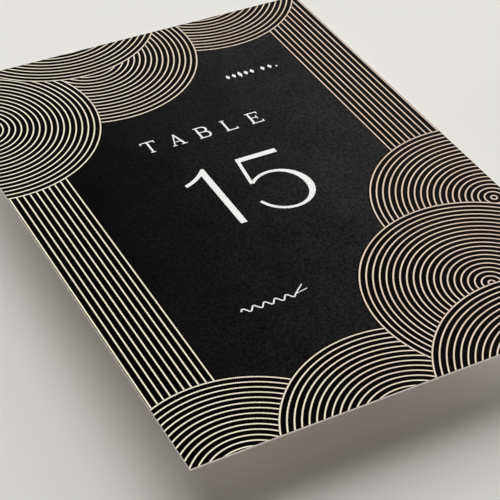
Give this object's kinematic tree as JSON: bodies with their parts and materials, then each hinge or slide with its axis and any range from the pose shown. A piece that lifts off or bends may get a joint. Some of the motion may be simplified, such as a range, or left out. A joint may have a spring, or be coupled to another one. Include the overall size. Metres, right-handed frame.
{
  "type": "table number card",
  "caption": "Flat portrait table number card: white duplexed board, black printed face, champagne foil fans and side bands of fine lines, white numerals.",
  "frame": {"origin": "middle of the card's underside, on the surface it lies on", "axes": "+Y towards the head of the card, +X to the reader's right, +Z out of the printed face"},
  "size_m": [0.127, 0.1778, 0.0006],
  "materials": {
    "white_stock": "uncoated white cotton board, matte",
    "glue": "dried white glue film",
    "black_ink": "solid black ink on uncoated board, matte",
    "champagne_foil": "hot-stamped champagne foil, satin",
    "white_ink": "opaque white ink, matte"
  },
  "bodies": {
    "root": {"back_ply": "white_stock", "bond_film": "glue", "front_ply": "white_stock", "black_print": "black_ink", "fan_bottom_left": "champagne_foil", "fan_bottom_mid": "champagne_foil", "fan_right_edge": "champagne_foil", "fan_lower_right": "champagne_foil", "fan_bottom_right": "champagne_foil", "fan_top_right": "champagne_foil", "fan_top_mid": "champagne_foil", "fan_left_edge": "champagne_foil", "fan_top_over": "champagne_foil", "band_left": "champagne_foil", "band_right": "champagne_foil", "numeral_1": "white_ink", "numeral_5": "white_ink", "title_word": "white_ink", "corner_mark": "white_ink", "pen_flourish": "white_ink"}
  },
  "joints": []
}
